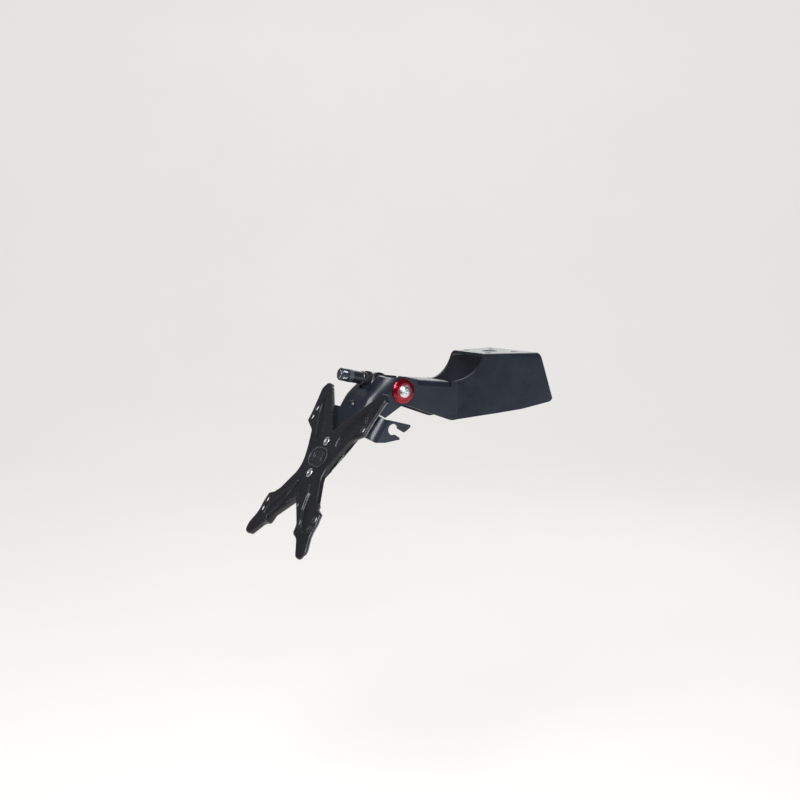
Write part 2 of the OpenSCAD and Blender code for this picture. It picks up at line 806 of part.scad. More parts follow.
module pivot_bolt(side) {
  color(stainless)
    outward(side, ear_out + cup_t)
      button_screw(pivot_d, pivot_head_d, pivot_head_h,
        cup_t + hanger_t + friction_t + arm_t + nut_washer_t + pivot_nut_h + 1.5);
}
module cup_washer(side) {
  rim = 0.32 * cup_t;
  bevel = 0.1 * cup_t;
  bore_r = pivot_d / 2 + washer_gap;
  color(anodised_red)
    outward(side, ear_out)
      rotate_extrude()
        polygon([[bore_r, 0], [cup_d / 2 - bevel, 0], [cup_d / 2, bevel], [cup_d / 2, rim],
          [cup_d / 2 - 2 * bevel, rim + 2 * bevel], [pivot_head_d / 2 + 1.4, cup_t],
          [bore_r, cup_t]]);
}
module ring(outer_d, inner_d, h) {
  difference() {
    cylinder(d = outer_d, h = h);
    translate([0, 0, -1])
      cylinder(d = inner_d, h = h + 2);
  }
}
module friction_washer(side) {
  color([0.1, 0.1, 0.1])
    outward(side, arm_out)
      ring(friction_d, pivot_d + 2 * washer_gap, friction_t);
}
module nut_washer(side) {
  color(zinc)
    outward(side, arm_out - arm_t - nut_washer_t)
      ring(nut_washer_d, pivot_d + 2 * washer_gap, nut_washer_t);
}
module pivot_nut(side) {
  color(zinc)
    outward(side, arm_out - arm_t - nut_washer_t)
      mirror([0, 0, 1])
        lock_nut(pivot_d, pivot_nut_af, pivot_nut_h);
}
module carrier_screw(y) {
  color(stainless)
    on_plate()
      translate([0, y, 0])
        button_screw(screw_d, screw_head_d, screw_head_h, carrier_t + hanger_t + screw_nut_h + 1);
}
module carrier_nut(y) {
  color(zinc)
    on_plate()
      translate([0, y, -carrier_t - hanger_t])
        mirror([0, 0, 1])
          lock_nut(screw_d, screw_nut_af, screw_nut_h);
}
module bracket_screw() {
  color(steel_black)
    on_plate()
      translate([0, bracket_screw_y, -carrier_t])
        button_screw(screw_d, screw_head_d, screw_head_h, hanger_t + tab_t + screw_nut_h + 1);
}
module bracket_nut() {
  color(zinc)
    on_plate()
      translate([0, bracket_screw_y, -carrier_t - hanger_t - tab_t])
        mirror([0, 0, 1])
          lock_nut(screw_d, screw_nut_af, screw_nut_h);
}

module lamp_gasket() {
  color([0.06, 0.06, 0.07])
    on_lamp()
      ring(lamp_d + 0.2, lamp_stem_d + 2 * fit_gap, gasket_t);
}
module lamp_body() {
  stem_end = -tab_t - lamp_nut_h - 1.5;
  ring_r = lamp_d / 2 + 0.7;
  color(steel_black)
    on_lamp()
      difference() {
        rotate_extrude()
          polygon([[0, stem_end], [lamp_stem_d / 2, stem_end], [lamp_stem_d / 2, ring_z],
            [ring_r, ring_z], [ring_r, smooth_z - 0.7], [lamp_d / 2, smooth_z],
            [lamp_d / 2, collar_z], [neck_d / 2, collar_z], [neck_d / 2, nose_z],
            [lamp_d / 2, nose_z], [lamp_d / 2, lamp_l - tip_bevel],
            [lamp_d / 2 - tip_bevel, lamp_l], [0, lamp_l]]);
        translate([0, 0, collar_z])
          cylinder(d = lens_d, h = far);
        for (i = [0:windows - 1])
          rotate((i + 0.5) * 360 / windows)
            translate([lens_d / 2 - 0.5, -window_share * lamp_d, nose_z + window_rim])
              cube([far, 2 * window_share * lamp_d, nose_l - 2 * window_rim]);
        // Bore for the lead
        translate([0, 0, stem_end - 1])
          cylinder(d = lead_bore_d, h = ring_z - stem_end + 1);
      }
}
module lamp_lens() {
  lens_z = nose_z + 0.6;
  step_z = lamp_l - window_rim;
  color([0.9, 0.93, 0.95])
    on_lamp()
      rotate_extrude()
        polygon([[0, lens_z], [lens_d / 2 - fit_gap, lens_z], [lens_d / 2 - fit_gap, step_z],
          [lens_d / 2 - 0.8, lamp_l - 0.3], [0, lamp_l - 0.3]]);
}
module lamp_reflector() {
  color(stainless)
    on_lamp()
      translate([0, 0, collar_z])
        cylinder(r = lens_d / 2 - fit_gap, h = collar_t + 0.6);
}
module lamp_collar() {
  color(zinc)
    on_lamp()
      translate([0, 0, collar_z])
        ring(lamp_d + 0.4, neck_d, collar_t);
}
module lamp_nut() {
  color(zinc)
    on_lamp()
      translate([0, 0, -tab_t - lamp_nut_h])
        difference() {
          cylinder(d = (lamp_stem_d + 4) / cos(30), h = lamp_nut_h, $fn = 6);
          translate([0, 0, -1])
            cylinder(d = lamp_stem_d, h = lamp_nut_h + 2);
        }
}

main_bracket();
hanger();
plate_carrier();
centre_disc();
lamp_bracket();
pivot_bolt(1);  // pivot_bolt_right
pivot_bolt(-1);  // pivot_bolt_left
cup_washer(1);  // cup_washer_right
cup_washer(-1);  // cup_washer_left
friction_washer(1);  // friction_washer_right
friction_washer(-1);  // friction_washer_left
nut_washer(1);  // nut_washer_right
nut_washer(-1);  // nut_washer_left
pivot_nut(1);  // pivot_nut_right
pivot_nut(-1);  // pivot_nut_left
carrier_screw(carrier_pitch / 2);  // carrier_screw_upper
carrier_screw(-carrier_pitch / 2);  // carrier_screw_lower
carrier_nut(carrier_pitch / 2);  // carrier_nut_upper
carrier_nut(-carrier_pitch / 2);  // carrier_nut_lower
bracket_screw();
bracket_nut();
lamp_body();
lamp_lens();
lamp_reflector();
lamp_collar();
lamp_gasket();
lamp_nut();
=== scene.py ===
# Looks of the tail tidy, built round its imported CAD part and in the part's own frame.
# Shapes are worked out in millimetres and scaled to metres at the end. The stage, the lights,
# the camera and the textures are in metres.
import json
import math
from functools import partial

import bmesh
import bpy
import numpy as np
from mathutils import Matrix, Vector, noise
from mathutils.geometry import delaunay_2d_cdt

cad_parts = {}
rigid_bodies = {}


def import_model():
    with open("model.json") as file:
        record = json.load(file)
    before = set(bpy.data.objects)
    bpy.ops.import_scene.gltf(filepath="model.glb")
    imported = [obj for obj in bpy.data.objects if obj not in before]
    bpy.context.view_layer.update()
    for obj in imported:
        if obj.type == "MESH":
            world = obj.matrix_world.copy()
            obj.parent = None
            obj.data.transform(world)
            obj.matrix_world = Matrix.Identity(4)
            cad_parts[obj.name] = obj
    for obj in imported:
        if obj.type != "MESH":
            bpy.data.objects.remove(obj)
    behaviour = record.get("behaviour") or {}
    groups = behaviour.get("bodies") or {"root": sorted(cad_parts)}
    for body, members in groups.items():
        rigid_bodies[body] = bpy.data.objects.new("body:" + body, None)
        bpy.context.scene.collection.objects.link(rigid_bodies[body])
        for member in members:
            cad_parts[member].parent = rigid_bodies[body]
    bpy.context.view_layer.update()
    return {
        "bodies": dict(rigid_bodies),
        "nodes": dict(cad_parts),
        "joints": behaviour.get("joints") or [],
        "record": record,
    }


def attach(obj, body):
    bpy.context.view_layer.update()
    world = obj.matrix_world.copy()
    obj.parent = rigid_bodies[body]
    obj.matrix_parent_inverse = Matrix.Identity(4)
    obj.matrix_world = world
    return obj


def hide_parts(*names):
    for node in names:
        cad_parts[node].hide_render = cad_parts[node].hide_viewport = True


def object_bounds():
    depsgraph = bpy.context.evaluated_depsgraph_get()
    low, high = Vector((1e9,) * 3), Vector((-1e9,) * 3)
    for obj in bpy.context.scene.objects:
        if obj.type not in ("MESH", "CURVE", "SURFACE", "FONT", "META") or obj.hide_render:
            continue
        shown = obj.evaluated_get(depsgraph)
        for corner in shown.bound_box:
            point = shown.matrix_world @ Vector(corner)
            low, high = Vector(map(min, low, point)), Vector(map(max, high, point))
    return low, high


MM = 0.001

# The part's sizes in millimetres and its angles in degrees, as they stand in its source or follow from it
PIVOT = Vector((0.0, -122.0, -33.0))
PLATE_LEAN = 32.5
UPPER_LEAN = 45.0
HANGER_OFFSET = 29.0
HANGER_T = 3.0
HANGER_BEND_R = 9.0
UPPER_L = 27.6
EAR_OUT = 27.0
WING_OUT = 60.0
WING_BEND_R = 5.5
WINDOW_EDGE = 52.0
WINDOW_LOW = 37.0
WINDOW_HIGH = 54.0
KEY_AHEAD = 20.9
KEY_MID = 52.7
KEY_R = 5.5
KEY_SLOT = 6.5
CARRIER_T = 5.0
CARRIER_DROP = 95.7
CROSS_BEND_DROP = 24.7
TAB_RISE = 10.0
TAB_L = 11.7
LAMP_TILT = 12.0
LUG_T = 2.2
RIB_H = 1.2
POCKET_DEPTH = 1.2
DISC_RIM_H = 0.6


def lean_frame(lean, origin):
    """Across, up and out of a plane that leans forward from upright, with its origin."""
    a = math.radians(lean)
    up = Vector((0.0, math.sin(a), math.cos(a)))
    out = Vector((0.0, -math.cos(a), math.sin(a)))
    across = Vector((1.0, 0.0, 0.0))
    m = Matrix((across, up, out)).transposed().to_4x4()
    return Matrix.Translation(origin) @ m


def along(lean, up, out):
    """The step that goes up a leaning plane and out of it by the given distances."""
    a = math.radians(lean)
    return Vector((0.0, math.sin(a) * up - math.cos(a) * out, math.cos(a) * up + math.sin(a) * out))


CROSS_BEND = PIVOT + along(PLATE_LEAN, -CROSS_BEND_DROP, HANGER_OFFSET)
PLATE = lean_frame(PLATE_LEAN, PIVOT + along(PLATE_LEAN, -CARRIER_DROP, HANGER_OFFSET + CARRIER_T))
UPPER = lean_frame(UPPER_LEAN, CROSS_BEND)
TAB_ROOT = CROSS_BEND + along(UPPER_LEAN, TAB_RISE, -HANGER_T)
LAMP = lean_frame(LAMP_TILT, TAB_ROOT + along(LAMP_TILT, TAB_L, 0.0))


# Materials. A texture's scale is in lumps per metre, and a bump's depth is in metres.
MIX_FACTOR, MIX_FIRST, MIX_SECOND = 0, 6, 7
MIX_RESULT = 2
BEVEL_SAMPLES = 6
STEEL_GRAIN = 900.0
FINE_GRAIN = 1500.0
CAST_DARK = (0.0052, 0.0046, 0.0060)
CAST_LIGHT = (0.0105, 0.0094, 0.0120)
CAST_SPECK = (0.034, 0.030, 0.034)
# Light grey for the carrier's edges: partly wear, partly a painted highlight along its rims
CAST_EDGE_WEAR_AND_HIGHLIGHT = (0.19, 0.19, 0.21)
RED_WORN = (0.7, 0.12, 0.14)
GRIME = (0.05, 0.05, 0.05)
DUST = (0.06, 0.058, 0.055)
LENS_DARK = (0.78, 0.82, 0.86)
LENS_LIGHT = (0.95, 0.97, 1.0)
LENS_GLOW = (0.9, 0.95, 1.0)


class Shader:
    """A node material built step by step."""

    def __init__(self, name):
        self.mat = bpy.data.materials.new(name)
        self.mat.use_nodes = True
        self.tree = self.mat.node_tree
        self.bsdf = self.tree.nodes["Principled BSDF"]
        self.coords = self.tree.nodes.new("ShaderNodeTexCoord")

    def node(self, kind, **values):
        n = self.tree.nodes.new("ShaderNode" + kind)
        for k, v in values.items():
            setattr(n, k, v)
        return n

    def link(self, a, b):
        self.tree.links.new(a, b)

    def noise(self, scale, detail=4.0, rough=0.55):
        n = self.node("TexNoise")
        n.inputs["Scale"].default_value = scale
        n.inputs["Detail"].default_value = detail
        n.inputs["Roughness"].default_value = rough
        self.link(self.coords.outputs["Object"], n.inputs["Vector"])
        return n.outputs["Fac"]

    def grey_ramp(self, source, first, last):
        """Turns a value into a grey, between two stops of (place, grey)."""
        n = self.node("ValToRGB")
        for stop, (place, grey) in zip(n.color_ramp.elements, (first, last)):
            stop.position = place
            stop.color = (grey, grey, grey, 1.0)
        self.link(source, n.inputs["Fac"])
        return n.outputs["Color"]

    def mix(self, fac, a, b, mode="MIX"):
        n = self.node("Mix", data_type="RGBA", blend_type=mode)
        for place, val in ((MIX_FACTOR, fac), (MIX_FIRST, a), (MIX_SECOND, b)):
            sock = n.inputs[place]
            if isinstance(val, bpy.types.NodeSocket):
                self.link(val, sock)
            elif isinstance(val, float):
                sock.default_value = val
            else:
                sock.default_value = (*val, 1.0)
        return n.outputs[MIX_RESULT]

    def cloudy(self, dark, light, scale, detail=4.0, start=0.35, end=0.65):
        """A colour that drifts between two tones."""
        return self.mix(self.grey_ramp(self.noise(scale, detail), (start, 0.0), (end, 1.0)), dark, light)

    def uneven_roughness(self, low, high, scale, detail=4.0):
        """Sets a roughness that drifts between two values."""
        self.set(Roughness=self.grey_ramp(self.noise(scale, detail), (0.3, low), (0.7, high)))

    def edges(self, radius, low=0.02, high=0.35):
        """Bright where the surface bends sharply: a mask for worn edges, and on the carrier also for a
        painted highlight along the edges.
        """
        bevel = self.node("Bevel", samples=BEVEL_SAMPLES)
        bevel.inputs["Radius"].default_value = radius
        geo = self.node("NewGeometry")
        dot = self.node("VectorMath", operation="DOT_PRODUCT")
        self.link(bevel.outputs["Normal"], dot.inputs[0])
        self.link(geo.outputs["Normal"], dot.inputs[1])
        inv = self.node("Math", operation="SUBTRACT")
        inv.inputs[0].default_value = 1.0
        self.link(dot.outputs["Value"], inv.inputs[1])
        return self.grey_ramp(inv.outputs[0], (low, 0.0), (high, 1.0))

    def patchy_edges(self, edges, patches):
        """Edge marks that come and go: wear, and on the carrier a painted highlight too."""
        return self.mix(1.0, edges, patches, "MULTIPLY")

    def bump(self, *layers):
        """Layers are (height socket, strength, distance in metres)."""
        last = None
        for height, strength, distance in layers:
            n = self.node("Bump")
            n.inputs["Strength"].default_value = strength
            n.inputs["Distance"].default_value = distance
            self.link(height, n.inputs["Height"])
            if last is not None:
                self.link(last, n.inputs["Normal"])
            last = n.outputs["Normal"]
        self.link(last, self.bsdf.inputs["Normal"])

    def set(self, **values):
        for key, val in values.items():
            sock = self.bsdf.inputs[key.replace("_", " ")]
            if isinstance(val, bpy.types.NodeSocket):
                self.link(val, sock)
            elif isinstance(val, tuple):
                sock.default_value = (*val, 1.0)
            else:
                sock.default_value = val


def powder_coat(name, dark, light, rough, coat, rubbed, grain=FINE_GRAIN):
    """Satin coat over steel: cloudy tone, orange peel, fine grain and faint rubbed spots."""
    s = Shader(name)
    base = s.cloudy(dark, light, scale=38.0, detail=5.0, end=0.68)
    spots = s.grey_ramp(s.noise(260.0, detail=3.0), (0.6, 0.0), (0.8, 0.12))
    s.set(Base_Color=s.mix(spots, base, rubbed), Metallic=0.0, IOR=1.5)
    s.uneven_roughness(rough - 0.05, rough + 0.07, scale=90.0)
    s.set(Coat_Weight=coat, Coat_Roughness=0.3, Specular_IOR_Level=0.4)
    s.bump((s.noise(grain, detail=2.0), 0.25, 0.00012), (s.noise(120.0, detail=3.0), 0.12, 0.0004))
    return s.mat


def cast_coat(name):
    """Matte coat over a casting: warm near-black, grainy, lighter on its edges from wear and from a
    painted highlight along them.
    """
    s = Shader(name)
    base = s.cloudy(CAST_DARK, CAST_LIGHT, scale=55.0, detail=6.0, end=0.7)
    specks = s.grey_ramp(s.noise(1700.0, detail=1.0), (0.62, 0.0), (0.78, 0.6))
    base = s.mix(specks, base, CAST_SPECK)
    patches = s.grey_ramp(s.noise(300.0, detail=3.0), (0.3, 0.35), (0.6, 1.0))
    # Lighter along the edges: edge wear plus a painted highlight on the rims
    edge_wear_and_highlight = s.patchy_edges(s.edges(0.0013, low=0.015, high=0.28), patches)
    base = s.mix(edge_wear_and_highlight, base, CAST_EDGE_WEAR_AND_HIGHLIGHT)
    s.set(Base_Color=base, Metallic=0.0, IOR=1.45, Specular_IOR_Level=0.42)
    s.set(Coat_Weight=0.2, Coat_Roughness=0.22)
    s.uneven_roughness(0.38, 0.52, scale=140.0)
    s.bump((s.noise(1500.0, detail=2.0), 0.35, 0.00012), (s.noise(260.0, detail=3.0), 0.2, 0.0003))
    return s.mat


def anodised(name, dark, light, rough):
    """Coloured film over turned metal, rubbed lighter on its edges."""
    s = Shader(name)
    base = s.cloudy(dark, light, scale=160.0, detail=3.0)
    patches = s.grey_ramp(s.noise(700.0, detail=2.0), (0.45, 0.0), (0.7, 0.7))
    base = s.mix(s.patchy_edges(s.edges(0.0004), patches), base, RED_WORN)
    s.set(Base_Color=base, Metallic=0.85, IOR=1.5)
    s.uneven_roughness(rough - 0.04, rough + 0.06, scale=240.0, detail=3.0)
    s.set(Coat_Weight=0.5, Coat_Roughness=0.06)
    s.bump((s.noise(1100.0, detail=2.0), 0.08, 0.00008), (s.noise(180.0, detail=2.0), 0.05, 0.0002))
    return s.mat


def bare_metal(name, dark, light, rough, soil=0.55):
    """Bright or plated metal with uneven polish and spots of grime."""
    s = Shader(name)
    base = s.cloudy(dark, light, scale=210.0)
    spots = s.grey_ramp(s.noise(480.0, detail=5.0, rough=0.7), (0.6, 0.0), (0.75, soil))
    s.set(Base_Color=s.mix(spots, base, GRIME), Metallic=1.0)
    s.uneven_roughness(rough - 0.06, rough + 0.1, scale=350.0)
    s.bump((s.noise(1900.0, detail=2.0), 0.12, 0.00006), (s.noise(300.0, detail=2.0), 0.06, 0.0002))
    return s.mat


def soft_black(name, tone, rough):
    """Rubber or nylon: dull, dusty and slightly uneven."""
    s = Shader(name)
    dusty = s.grey_ramp(s.noise(420.0, detail=5.0, rough=0.7), (0.5, 0.0), (0.75, 0.5))
    s.set(Base_Color=s.mix(dusty, tone, DUST))
    s.uneven_roughness(rough - 0.08, rough + 0.08, scale=200.0, detail=3.0)
    s.bump((s.noise(1400.0, detail=2.0), 0.25, 0.0001), (s.noise(240.0, detail=3.0), 0.15, 0.0003))
    return s.mat


def milky_lens(name):
    """A cloudy clear lens with a faint glow."""
    s = Shader(name)
    base = s.cloudy(LENS_DARK, LENS_LIGHT, scale=300.0, detail=3.0)
    s.set(Base_Color=base, IOR=1.49, Transmission_Weight=0.5)
    s.set(Emission_Color=LENS_GLOW, Emission_Strength=0.12)
    s.uneven_roughness(0.08, 0.2, scale=500.0, detail=3.0)
    s.bump((s.noise(900.0, detail=2.0), 0.08, 0.0001), (s.noise(200.0, detail=2.0), 0.05, 0.0002))
    return s.mat


# What makes the material of each slot
MATERIALS = {
    "sheet_black": partial(powder_coat, dark=(0.0062, 0.0082, 0.0132), light=(0.0105, 0.0134, 0.0208),
                           rough=0.31, coat=0.15, rubbed=(0.06, 0.075, 0.10), grain=STEEL_GRAIN),
    "cast_black": cast_coat,
    "washer_red": partial(anodised, dark=(0.24, 0.0, 0.007), light=(0.33, 0.0004, 0.014), rough=0.2),
    "nylon_black": partial(soft_black, tone=(0.012, 0.012, 0.012), rough=0.5),
    "stainless": partial(bare_metal, dark=(0.66, 0.66, 0.67), light=(0.84, 0.84, 0.84),
                         rough=0.3, soil=0.2),
    "screw_black": partial(powder_coat, dark=(0.008, 0.008, 0.009), light=(0.016, 0.016, 0.018),
                           rough=0.34, coat=0.1, rubbed=(0.09, 0.09, 0.1)),
    "zinc": partial(bare_metal, dark=(0.36, 0.37, 0.39), light=(0.58, 0.59, 0.6), rough=0.34),
    "lamp_black": partial(powder_coat, dark=(0.009, 0.011, 0.015), light=(0.018, 0.021, 0.027),
                          rough=0.28, coat=0.4, rubbed=(0.11, 0.12, 0.14)),
    "lamp_collar": partial(powder_coat, dark=(0.045, 0.05, 0.058), light=(0.075, 0.08, 0.09),
                           rough=0.3, coat=0.3, rubbed=(0.2, 0.21, 0.23)),
    "lens_clear": milky_lens,
    "reflector": partial(bare_metal, dark=(0.75, 0.76, 0.78), light=(0.92, 0.93, 0.95), rough=0.15),
    "rubber_black": partial(soft_black, tone=(0.013, 0.013, 0.014), rough=0.6),
}


def make_materials():
    return {slot: maker(slot) for slot, maker in MATERIALS.items()}


# Mesh tools
SHARP_ANGLE = 38.0
CAST_SHARP_ANGLE = 50.0
EDGE_ANGLE = 28.0
EDGE_SEGMENTS = 2
FLAT_ANGLE = 0.6
WELD = 0.0005
LEANING_WELD = 0.002
SLICE_WELD = 0.0005


def new_piece(name, bm, mats, slot, body, replaced, smooth_shaded=True):
    """Turns a bmesh in millimetres into a piece, which stands for one CAD node if one is given."""
    mesh = bpy.data.meshes.new(name)
    bmesh.ops.recalc_face_normals(bm, faces=bm.faces)
    bmesh.ops.scale(bm, vec=(MM, MM, MM), verts=bm.verts)
    bm.to_mesh(mesh)
    bm.free()
    obj = bpy.data.objects.new(name, mesh)
    bpy.context.scene.collection.objects.link(obj)
    mesh.materials.append(mats[slot])
    if smooth_shaded:
        mesh.shade_smooth()
    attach(obj, body)
    if replaced:
        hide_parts(replaced)
    return obj


def cad_bmesh(frame, node):
    """A clean bmesh of a CAD node in millimetres: welded, with flat areas as single faces."""
    bm = bmesh.new()
    bm.from_mesh(frame["nodes"][node].data)
    bmesh.ops.scale(bm, vec=(1 / MM, 1 / MM, 1 / MM), verts=bm.verts)
    bmesh.ops.remove_doubles(bm, verts=bm.verts, dist=WELD)
    bmesh.ops.dissolve_limit(bm, angle_limit=math.radians(FLAT_ANGLE), verts=bm.verts, edges=bm.edges,
                             use_dissolve_boundaries=False, delimit={"NORMAL"})
    return bm


def cad_in(frame, node, matrix):
    """A CAD node's welded mesh in millimetres, in the axes of a leaning plane."""
    bm = bmesh.new()
    bm.from_mesh(frame["nodes"][node].data)
    bmesh.ops.transform(bm, matrix=matrix.inverted() @ Matrix.Scale(1 / MM, 4), verts=bm.verts)
    bmesh.ops.remove_doubles(bm, verts=bm.verts, dist=LEANING_WELD)
    bm.normal_update()
    return bm


def join_flats(bm):
    """Joins the triangles of each flat area."""
    bmesh.ops.dissolve_limit(bm, angle_limit=math.radians(FLAT_ANGLE), verts=bm.verts, edges=bm.edges)


def keep_modified(obj):
    """Makes the modified shape the piece's own mesh."""
    bpy.context.view_layer.update()
    deps = bpy.context.evaluated_depsgraph_get()
    done = bpy.data.meshes.new_from_object(obj.evaluated_get(deps))
    obj.modifiers.clear()
    old = obj.data
    obj.data = done
    bpy.data.meshes.remove(old)


def round_edges(obj, width, angle=EDGE_ANGLE):
    """Rounds a piece's sharp edges, shades its flats evenly and keeps the result as its mesh."""
    mod = obj.modifiers.new("edges", "BEVEL")
    mod.width = width * MM
    mod.segments = EDGE_SEGMENTS
    mod.limit_method = "ANGLE"
    mod.angle_limit = math.radians(angle)
    mod.use_clamp_overlap = True
    mod.harden_normals = False
    keep_modified(obj)
    obj.data.shade_smooth()
    obj.data.set_sharp_from_angle(angle=math.radians(SHARP_ANGLE))
    mod = obj.modifiers.new("flats", "WEIGHTED_NORMAL")
    mod.keep_sharp = True
    keep_modified(obj)


def softened(frame, node, mats, slot, body, width):
    """The CAD node's shape with its sharp edges rounded."""
    bm = cad_bmesh(frame, node)
    obj = new_piece(node + "_look", bm, mats, slot, body, node, smooth_shaded=False)
    round_edges(obj, width)
    return obj


def sliced(bm, normal, places):
    """Cuts a mesh's faces along planes, and leaves both sides in place."""
    for place in places:
        geom = list(bm.verts) + list(bm.edges) + list(bm.faces)
        bmesh.ops.bisect_plane(bm, geom=geom, dist=SLICE_WELD, plane_co=Vector(normal) * place,
                               plane_no=Vector(normal))


def even_steps(start, step, count):
    return [start + step * i for i in range(count)]


def both_sides(places):
    return places + [-x for x in places]


def smooth(x):
    """A soft step: 0 up to x = 0, and 1 from x = 1 on."""
    x = np.clip(x, 0.0, 1.0)
    return x * x * (3.0 - 2.0 * x)


# Outlines: arrays of points in millimetres
LEVEL_NORMAL = 0.999
LEVEL_GAP = 0.02
REACH = 6.0
FAR = 1e9
TINY = 1e-12
TINY_LENGTH = 1e-9


def level_loops(bm, z, sign):
    """The outlines of the flat areas at height z that look up (sign 1) or down (-1)."""
    group = {f for f in bm.faces
             if sign * f.normal.z > LEVEL_NORMAL and abs(f.calc_center_median().z - z) < LEVEL_GAP}
    after = {}
    for face in group:
        for loop in face.loops:
            if sum(g in group for g in loop.edge.link_faces) == 1:
                after[loop.vert] = loop.link_loop_next.vert
    loops = []
    while after:
        first, vert = after.popitem()
        points = [first]
        while vert is not first and vert in after:
            points.append(vert)
            vert = after.pop(vert)
        loops.append(np.array([(v.co.x, v.co.y) for v in points]))
    return loops


def size_of(loop):
    """An outline's larger side."""
    return float(np.ptp(loop, axis=0).max())


def resampled(loop, step):
    """The same closed outline with no side longer than a step."""
    out = []
    for a, b in zip(loop, np.roll(loop, -1, axis=0)):
        n = max(1, math.ceil(np.linalg.norm(b - a) / step))
        out += [a + (b - a) * i / n for i in range(n)]
    return np.array(out)


def near_distance(points, loop):
    """Distance of each point to an outline, positive inside, and the nearest place on it."""
    best = np.full(len(points), FAR)
    near = np.zeros_like(points)
    inside = np.zeros(len(points), dtype=bool)
    for a, b in zip(loop, np.roll(loop, -1, axis=0)):
        ab = b - a
        length = ab @ ab
        if length < TINY:
            continue
        t = np.clip(((points - a) @ ab) / length, 0.0, 1.0)
        q = a + t[:, None] * ab
        d = np.linalg.norm(points - q, axis=1)
        closer = d < best
        best = np.where(closer, d, best)
        near = np.where(closer[:, None], q, near)
        crosses = (a[1] > points[:, 1]) != (b[1] > points[:, 1])
        if crosses.any():
            x = a[0] + (points[:, 1] - a[1]) * ab[0] / (ab[1] if abs(ab[1]) > TINY else TINY)
            inside ^= crosses & (points[:, 0] < x)
    return np.where(inside, best, -best), near


def signed_distance(all_points, loop):
    """The same, but minus the reach for points more than that outside the outline's own box."""
    low, high = loop.min(axis=0) - REACH, loop.max(axis=0) + REACH
    close = ((all_points > low) & (all_points < high)).all(axis=1)
    points = all_points[close]
    dist, place = np.full(len(all_points), -REACH), np.zeros_like(all_points)
    dist[close], place[close] = near_distance(points, loop)
    return dist, place


def rounded_drop(d, radius):
    """How far a rounded edge falls at a distance d inside it."""
    k = radius - np.clip(d, 0.0, radius)
    return radius - np.sqrt(np.maximum(radius * radius - k * k, 0.0))


def offset_ring(loop, d):
    """Points at a distance d on both sides of an outline."""
    ahead = np.roll(loop, -1, axis=0) - np.roll(loop, 1, axis=0)
    normal = np.stack([-ahead[:, 1], ahead[:, 0]], axis=1)
    normal /= np.maximum(np.linalg.norm(normal, axis=1), TINY_LENGTH)[:, None]
    return [loop + normal * d, loop - normal * d]


def rings_beside(loop, distances):
    rings = []
    for d in distances:
        rings += offset_ring(loop, d)
    return rings


def thinned(points, gap):
    """Keeps one point in each square cell of a gap's width."""
    cells = np.floor(points / gap).astype(int)
    _, first = np.unique(cells, axis=0, return_index=True)
    return points[np.sort(first)]


# The carrier: its edges, relief and tips
ROUND_R = 1.9
HOLE_ROUND_R = 0.3
BACK_ROUND_R = 0.5
BACK_ROUND_SHARE = 0.5
FLANK = 1.2
LONG_FLANK = 5.0
LONG_FLANK_START = 3.0
LONG_FLANK_RUN = 6.0
LUG_FLANK = 0.6
BUMPS_BELOW = -70.0
BUMP_BOSS_R = 4.3
BUMP_BOSS_H = 0.55
BUMP_FLANK = 0.7
RIM_FLANK = 0.7
RIM_INNER_FLANK = 0.4
BADGE_SEAT_DEPTH = 0.9
UNEVEN_H = 0.10
UNEVEN_SCALE = 0.12
UNEVEN_LAYER = 3.0
TIP_ZONE = 8.0
TIP_FADE = 3.0
TIP_ROUNDS = 14
TIP_PULL = 0.5

# The carrier: how its features are told apart by size, and where its vertices go
HOLE_LIMIT = 7.0
AREA_LIMIT = 10.0
RIM_LIMIT = 20.0
OUTLINE_STEP = 1.0
HOLE_STEP = 0.6
FEATURE_STEP = 0.7
OUTLINE_RINGS = (0.08, 0.3, 0.6, 1.0, ROUND_R)
HOLE_RINGS = (0.15, 0.4)
FEATURE_RINGS = (0.35, 0.75)
GRID = 0.85
GRID_SHEAR = 0.0001
OUTLINE_CLEAR = 0.05
HOLE_CLEAR = 0.08
POINT_GAP = 0.22
TRIANGLE_WELD = 0.0001
TRIANGLES_INSIDE = 1


def rounded_tips(loop):
    """Rounds the two lower ends of the outline."""
    low = loop[:, 1].min()
    ends = smooth((low + TIP_ZONE - loop[:, 1]) / TIP_FADE)[:, None]
    for _ in range(TIP_ROUNDS):
        mean = (np.roll(loop, 1, axis=0) + np.roll(loop, -1, axis=0)) / 2
        loop = loop + TIP_PULL * ends * (mean - loop)
    return loop


